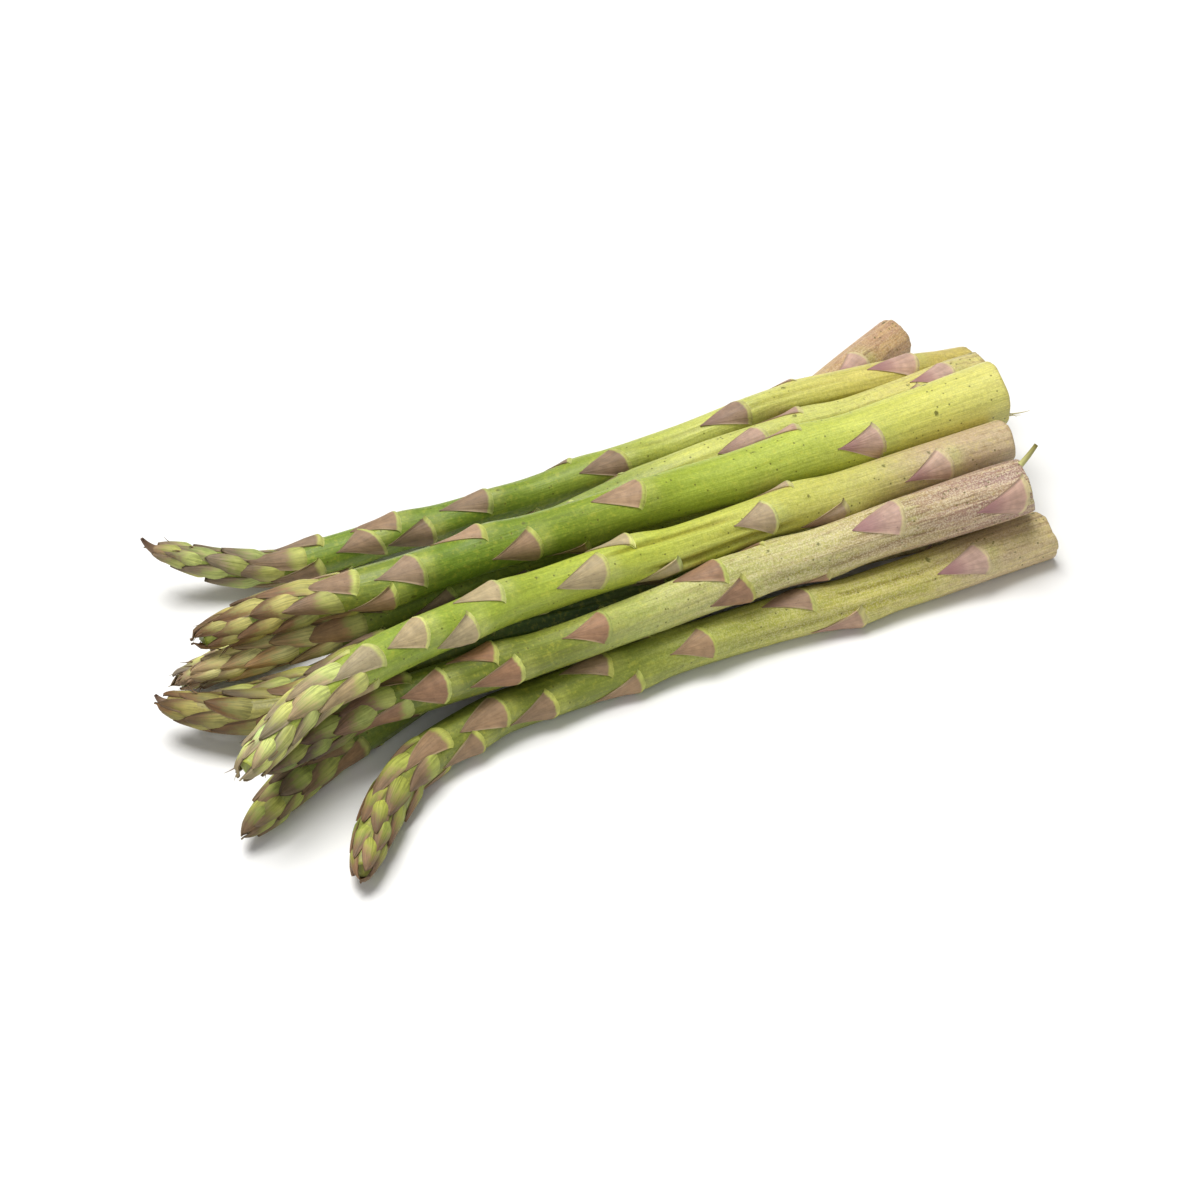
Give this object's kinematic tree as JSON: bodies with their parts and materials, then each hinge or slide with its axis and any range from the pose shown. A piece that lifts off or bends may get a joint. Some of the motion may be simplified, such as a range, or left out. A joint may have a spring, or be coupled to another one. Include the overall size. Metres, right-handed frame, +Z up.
{
  "type": "bundle of asparagus",
  "caption": "A loose bundle of fresh green asparagus spears lying down, heads together at one end and cut butts at the other.",
  "frame": {"origin": "under the middle of the bundle's box, on the surface it lies on", "axes": "+X along the spears towards their cut butts, so the heads point to -X; +Y across the bundle, away from the side the loose front spear is on; +Z up"},
  "size_m": [0.215, 0.1172, 0.0312],
  "materials": {
    "stem": "smooth waxy green skin with fine lengthwise ribs, paler and yellower towards the cut end",
    "scale_leaf": "dry matt scale, dusty mauve with a pale yellow-green base and rim",
    "cut_end": "moist pale cut face with darker bundles of fibres"
  },
  "bodies": {
    "root": {"spear_back": "stem", "spear_crossing": "stem", "spear_thick": "stem", "spear_upper": "stem", "spear_purple": "stem", "spear_front": "stem", "spear_inner_back": "stem", "spear_inner_bent": "stem", "spear_brown": "stem", "spear_inner_low": "stem"}
  },
  "joints": []
}
